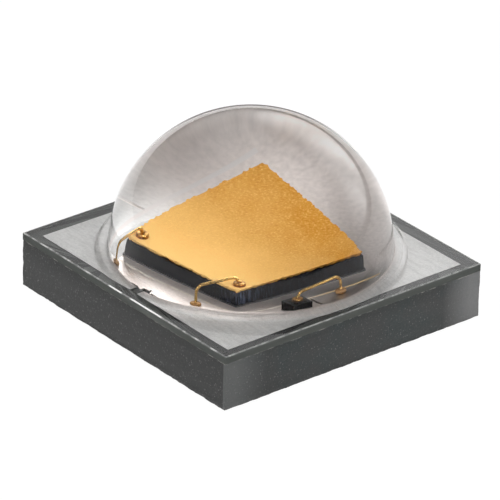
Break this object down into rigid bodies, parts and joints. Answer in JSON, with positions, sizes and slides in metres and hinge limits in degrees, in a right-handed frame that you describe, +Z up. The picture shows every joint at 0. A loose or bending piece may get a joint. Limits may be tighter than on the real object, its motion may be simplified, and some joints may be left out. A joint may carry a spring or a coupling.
{
  "type": "surface-mount light-emitting diode",
  "caption": "Surface-mount white light-emitting diode: square ceramic carrier, phosphor-coated chip on silver lands, gold bond wires, clear silicone dome and solder pads underneath.",
  "frame": {"origin": "centre of the underside, on the plane of the solder pads' faces", "axes": "+Z up through the dome, +X along the pads, -Y towards the edge with the plus mark"},
  "size_m": [0.005, 0.005, 0.0032],
  "materials": {
    "ceramic": "matte, sawn",
    "silver_land": "satin silver plating",
    "gap_line": "pale insulating line",
    "via_metal": "copper filling",
    "solder_pad": "satin plated pad",
    "solder": "dull solder",
    "chip": "sawn crystal",
    "phosphor": "matte, fine grain",
    "gold": "bright gold",
    "esd_silicon": "dark silicon",
    "silicone": "clear gloss"
  },
  "bodies": {
    "root": {"ceramic_substrate": "ceramic", "anode_land": "silver_land", "cathode_land": "silver_land", "land_gap_line": "gap_line", "anode_vias": "via_metal", "cathode_vias": "via_metal", "anode_pad": "solder_pad", "thermal_pad": "solder_pad", "cathode_pad": "solder_pad", "chip_solder": "solder", "led_chip": "chip", "phosphor_layer": "phosphor", "chip_contacts": "gold", "chip_bumps": "gold", "left_bond_wire": "gold", "right_bond_wire": "gold", "esd_solder": "solder", "esd_diode": "esd_silicon", "esd_contact": "gold", "esd_bump": "gold", "esd_bond_wire": "gold", "silicone_lens": "silicone"}
  },
  "joints": []
}
